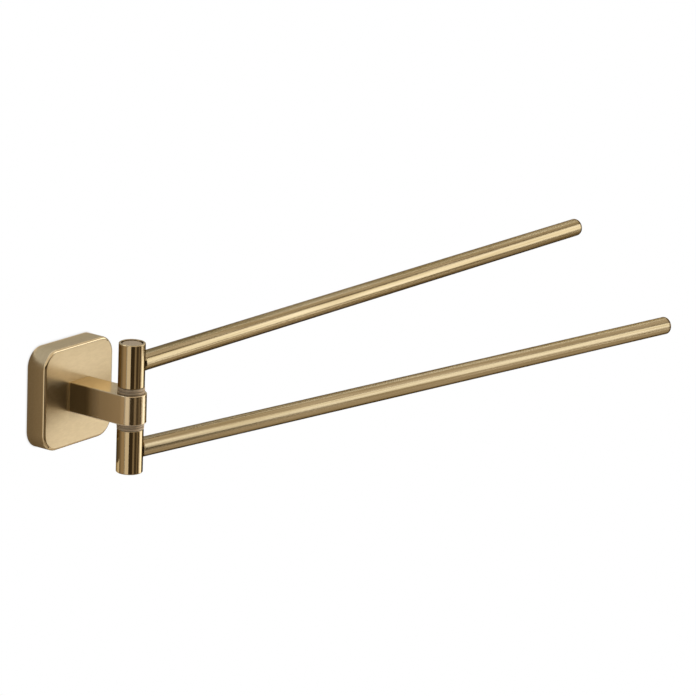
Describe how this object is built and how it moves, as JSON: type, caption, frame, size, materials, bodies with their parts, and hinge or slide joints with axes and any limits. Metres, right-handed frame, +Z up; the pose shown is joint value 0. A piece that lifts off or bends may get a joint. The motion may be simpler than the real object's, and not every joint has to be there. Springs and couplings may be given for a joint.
{
  "type": "swing arm towel bar",
  "caption": "Wall-mounted swivel towel rail: a rounded square wall plate, a short post with a round eye, and two long round bars that swing about one upright pivot.",
  "frame": {"origin": "centre of the wall plate's back, where the bracket's two screw holes are centred, on the wall plane", "axes": "+Z up; the wall is the plane Y = 0 and the rail stands out towards -Y; at rest the arms point to +X"},
  "size_m": [0.4285, 0.1187, 0.0674],
  "materials": {
    "cast_gold": "satin plated die casting",
    "brushed_gold": "fine brushed gold plating",
    "nylon": "translucent grey-brown nylon",
    "zinc_plated_steel": "bright zinc plated",
    "fastener_steel": "plain stainless steel"
  },
  "bodies": {
    "root": {"wall_plate_cover": "cast_gold", "wall_bracket": "zinc_plated_steel", "bracket_lock_screw": "fastener_steel", "post_screw": "fastener_steel", "post_screw_washer": "zinc_plated_steel", "swivel_post": "brushed_gold", "upper_bush": "nylon", "lower_bush": "nylon", "upper_friction_ring": "nylon", "lower_friction_ring": "nylon", "pivot_bolt": "fastener_steel", "pivot_spring_washer": "fastener_steel", "pivot_lock_nut": "fastener_steel"},
    "upper_arm": {"upper_barrel": "brushed_gold", "upper_barrel_cap": "brushed_gold", "upper_bar_spigot": "brushed_gold", "upper_bar": "brushed_gold", "upper_bar_end_plug": "brushed_gold"},
    "lower_arm": {"lower_barrel": "brushed_gold", "lower_barrel_cap": "brushed_gold", "lower_bar_spigot": "brushed_gold", "lower_bar": "brushed_gold", "lower_bar_end_plug": "brushed_gold"}
  },
  "joints": [
    {"name": "upper_arm_swing", "type": "hinge", "parent": "root", "child": "upper_arm", "pos_m": [0, -0.0456, 0.0223], "axis": [0, 0, 1], "range_deg": [-180, 0]},
    {"name": "lower_arm_swing", "type": "hinge", "parent": "root", "child": "lower_arm", "pos_m": [0, -0.0456, -0.0223], "axis": [0, 0, 1], "range_deg": [-170.2, 9.8]}
  ]
}
